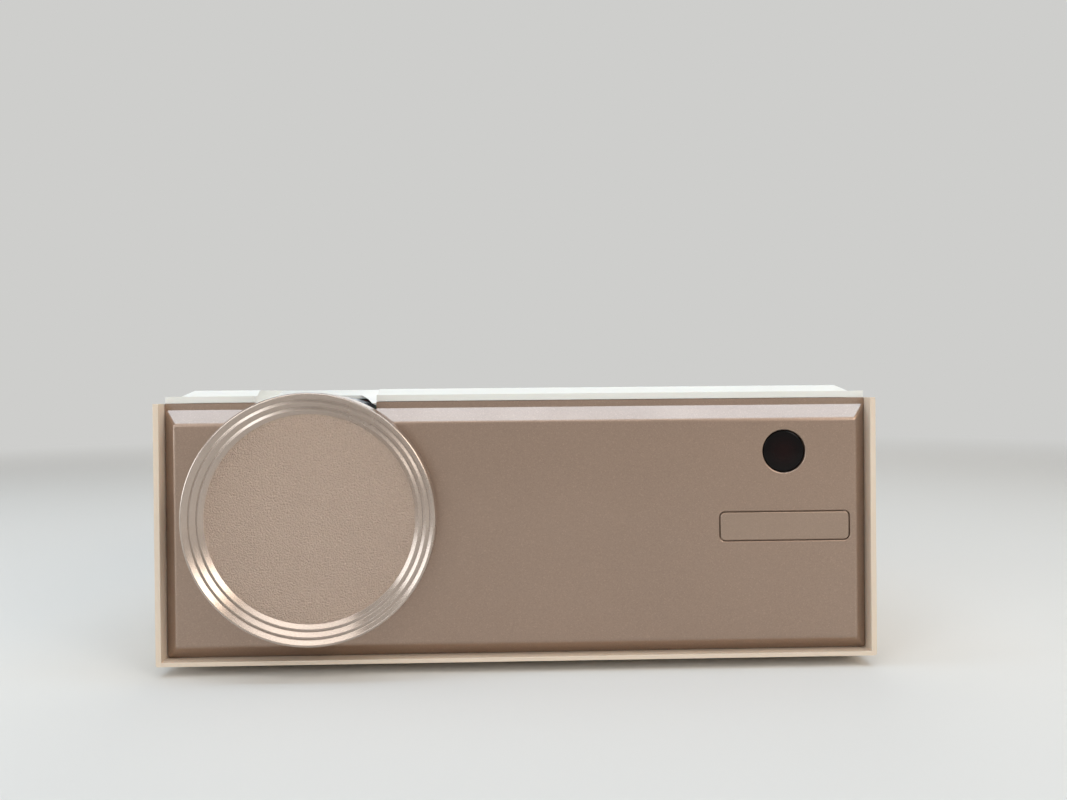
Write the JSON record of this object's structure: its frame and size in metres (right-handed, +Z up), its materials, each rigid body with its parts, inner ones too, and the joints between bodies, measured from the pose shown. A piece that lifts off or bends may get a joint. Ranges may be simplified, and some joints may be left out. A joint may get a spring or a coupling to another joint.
{
  "type": "projector with built-in disc player",
  "caption": "Box-shaped video projector with a capped front lens, finger-turned focus ring, slim disc tray in the side wall, top keys and rear sockets.",
  "frame": {"origin": "centre of the bounding box's underside, on the surface the feet stand on", "axes": "-Y is the lens side, +X the disc tray's side, +Z up"},
  "size_m": [0.26, 0.213, 0.1035],
  "materials": {
    "cream_shell": "satin moulded plastic",
    "rear_shell": "satin moulded plastic",
    "white_cover": "fine satin",
    "champagne_paint": "metallic flake paint",
    "cap_paint": "spark-textured metallic paint",
    "bezel_paint": "satin metallic paint",
    "badge_metal": "satin",
    "ir_glass": "polished, dark red",
    "rubber": "matt",
    "steel": "zinc plated",
    "brass": "turned",
    "grey_plastic": "satin",
    "black_plastic": "satin",
    "glass": "polished",
    "lcd": "polished",
    "led": "matt",
    "aluminium": "extruded",
    "motor_metal": "bright",
    "tray_face": "satin",
    "key_face": "satin",
    "board": "solder mask",
    "speaker": "paper cone"
  },
  "bodies": {
    "housing": {"base_shell": "cream_shell", "top_cover": "white_cover", "front_panel": "champagne_paint", "rear_panel": "rear_shell", "badge_plate": "badge_metal", "ir_window": "ir_glass", "rubber_feet": "rubber", "case_screws": "steel", "standoffs": "steel", "tripod_insert": "brass", "lens_bezel": "bezel_paint", "lens_tube": "black_plastic", "engine_case": "black_plastic", "field_lens_front": "glass", "lcd_panel": "lcd", "field_lens_rear": "glass", "heat_glass": "glass", "condenser_lens": "glass", "led_module": "led", "heat_sink": "aluminium", "fan_frame": "black_plastic", "drive_case": "steel", "drive_lid": "steel", "main_board": "board", "power_board": "board", "key_board": "board", "power_inlet": "black_plastic", "hdmi_socket": "steel", "usb_sockets": "steel", "vga_socket": "steel", "audio_jack": "black_plastic", "speaker": "speaker"},
    "cap": {"lens_cap": "cap_paint"},
    "focus": {"focus_ring": "grey_plastic"},
    "barrel": {"lens_barrel": "black_plastic", "front_element": "glass", "rear_element": "glass", "focus_pin": "steel"},
    "fan": {"fan_rotor": "black_plastic"},
    "tray": {"disc_tray": "black_plastic", "deck_plate": "steel", "guide_rods": "steel", "sled_motor": "motor_metal", "spindle_motor": "motor_metal", "tray_bezel": "tray_face"},
    "rails": {"tray_rails": "steel"},
    "hub": {"turntable": "black_plastic"},
    "sled": {"pickup_sled": "black_plastic", "pickup_lens": "glass"},
    "feed_screw": {"lead_screw": "steel"},
    "eject": {"tray_eject_button": "key_face"},
    "foot_pad": {"front_foot_pad": "rubber"},
    "foot_screw": {"front_foot_screw": "steel"},
    "ok_key": {"ok_key": "key_face"},
    "up_key": {"up_key": "key_face"},
    "down_key": {"down_key": "key_face"},
    "left_key": {"left_key": "key_face"},
    "right_key": {"right_key": "key_face"},
    "power_key": {"power_key": "key_face"},
    "source_key": {"source_key": "key_face"}
  },
  "joints": [
    {"name": "lens_cap_pull", "type": "slide", "parent": "housing", "child": "cap", "axis": [0, -1, 0], "range_m": [0, 0.05]},
    {"name": "focus_turn", "type": "hinge", "parent": "housing", "child": "focus", "pos_m": [-0.0735, -0.0789, 0.057], "axis": [0, 1, 0], "range_deg": [-45, 45]},
    {"name": "lens_travel", "type": "slide", "parent": "housing", "child": "barrel", "axis": [0, 1, 0], "range_m": [-0.003, 0.003]},
    {"name": "fan_spin", "type": "hinge", "parent": "housing", "child": "fan", "pos_m": [-0.0735, 0.0915, 0.057], "axis": [0, 1, 0], "continuous": true},
    {"name": "tray_slide", "type": "slide", "parent": "housing", "child": "tray", "axis": [1, 0, 0], "range_m": [0, 0.118]},
    {"name": "rail_slide", "type": "slide", "parent": "housing", "child": "rails", "axis": [1, 0, 0], "range_m": [0, 0.059]},
    {"name": "disc_spin", "type": "hinge", "parent": "tray", "child": "hub", "pos_m": [0.062, 0.004, 0.07], "axis": [0, 0, 1], "continuous": true},
    {"name": "sled_travel", "type": "slide", "parent": "tray", "child": "sled", "axis": [1, 0, 0], "range_m": [0, 0.028]},
    {"name": "feed_screw_spin", "type": "hinge", "parent": "tray", "child": "feed_screw", "pos_m": [0.082, 0.033, 0.0716], "axis": [1, 0, 0], "continuous": true},
    {"name": "eject_press", "type": "slide", "parent": "tray", "child": "eject", "axis": [-1, 0, 0], "range_m": [0, 0.0008], "stiffness_N_per_m": 300, "springref_m": -0.001},
    {"name": "foot_drop", "type": "slide", "parent": "housing", "child": "foot_pad", "axis": [0, 0, -1], "range_m": [0, 0.015]},
    {"name": "foot_turn", "type": "hinge", "parent": "foot_pad", "child": "foot_screw", "pos_m": [0, -0.0645, 0.01], "axis": [0, 0, 1], "continuous": true},
    {"name": "ok_press", "type": "slide", "parent": "housing", "child": "ok_key", "axis": [0, 0, -1], "range_m": [0, 0.0008], "stiffness_N_per_m": 300, "springref_m": -0.001},
    {"name": "up_press", "type": "slide", "parent": "housing", "child": "up_key", "axis": [0, 0, -1], "range_m": [0, 0.0008], "stiffness_N_per_m": 300, "springref_m": -0.001},
    {"name": "down_press", "type": "slide", "parent": "housing", "child": "down_key", "axis": [0, 0, -1], "range_m": [0, 0.0008], "stiffness_N_per_m": 300, "springref_m": -0.001},
    {"name": "left_press", "type": "slide", "parent": "housing", "child": "left_key", "axis": [0, 0, -1], "range_m": [0, 0.0008], "stiffness_N_per_m": 300, "springref_m": -0.001},
    {"name": "right_press", "type": "slide", "parent": "housing", "child": "right_key", "axis": [0, 0, -1], "range_m": [0, 0.0008], "stiffness_N_per_m": 300, "springref_m": -0.001},
    {"name": "power_press", "type": "slide", "parent": "housing", "child": "power_key", "axis": [0, 0, -1], "range_m": [0, 0.0008], "stiffness_N_per_m": 300, "springref_m": -0.001},
    {"name": "source_press", "type": "slide", "parent": "housing", "child": "source_key", "axis": [0, 0, -1], "range_m": [0, 0.0008], "stiffness_N_per_m": 300, "springref_m": -0.001}
  ],
  "couplings": [
    {"joint": "lens_travel", "follows": "focus_turn", "m_per_rad": -0.0038197},
    {"joint": "rail_slide", "follows": "tray_slide", "ratio": 0.5},
    {"joint": "feed_screw_spin", "follows": "sled_travel", "rad_per_m": 3141.6},
    {"joint": "foot_turn", "follows": "foot_drop", "rad_per_m": -4188.8}
  ]
}
